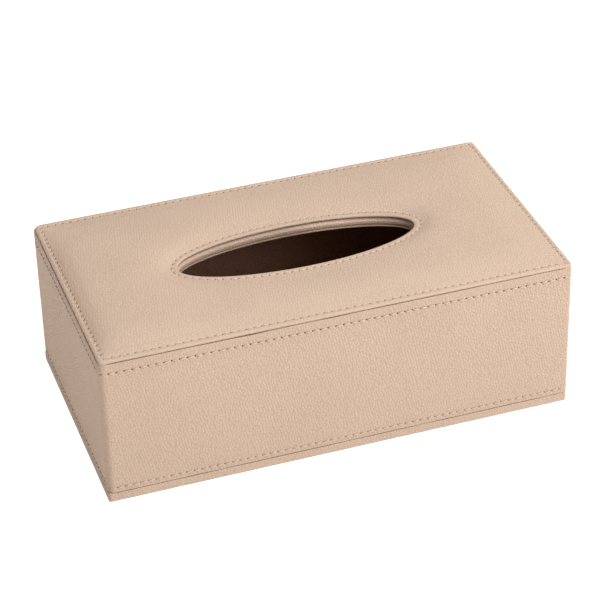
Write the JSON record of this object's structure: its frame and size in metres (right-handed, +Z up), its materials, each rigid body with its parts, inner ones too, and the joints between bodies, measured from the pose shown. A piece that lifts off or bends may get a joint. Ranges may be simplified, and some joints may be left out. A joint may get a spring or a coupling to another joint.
{
  "type": "rectangular tissue box cover",
  "caption": "Rectangular tissue box cover in stitched leatherette over board, with a padded top, an oval opening and a base plate that opens on a leather hinge strip.",
  "frame": {"origin": "middle of the base plate's underside, on the surface that it stands on", "axes": "+X along the length, +Y from the front wall to the hinged rear wall, +Z up"},
  "size_m": [0.25, 0.136, 0.0872],
  "materials": {
    "leather": "satin",
    "thread": "matte",
    "lining": "matte",
    "foam": "matte",
    "board": "matte",
    "magnet": "satin",
    "steel": "satin"
  },
  "bodies": {
    "base": {"base_leather": "leather", "base_board": "board", "base_lining": "lining", "strike_plates": "steel", "hinge_strip": "leather"},
    "cover": {"top_leather": "leather", "top_foam": "foam", "top_board": "board", "top_lining": "lining", "opening_binding": "leather", "top_edge_thread": "thread", "opening_thread": "thread", "wall_leather": "leather", "wall_lining": "lining", "front_wall_board": "board", "back_wall_board": "board", "left_wall_board": "board", "right_wall_board": "board", "wall_top_thread": "thread", "wall_bottom_thread": "thread", "wall_magnets": "magnet"}
  },
  "joints": [
    {"name": "cover_hinge", "type": "hinge", "parent": "base", "child": "cover", "pos_m": [0, 0.068, 0.0055], "axis": [-1, 0, 0], "range_deg": [0, 90], "deforming": ["hinge_strip"]}
  ]
}
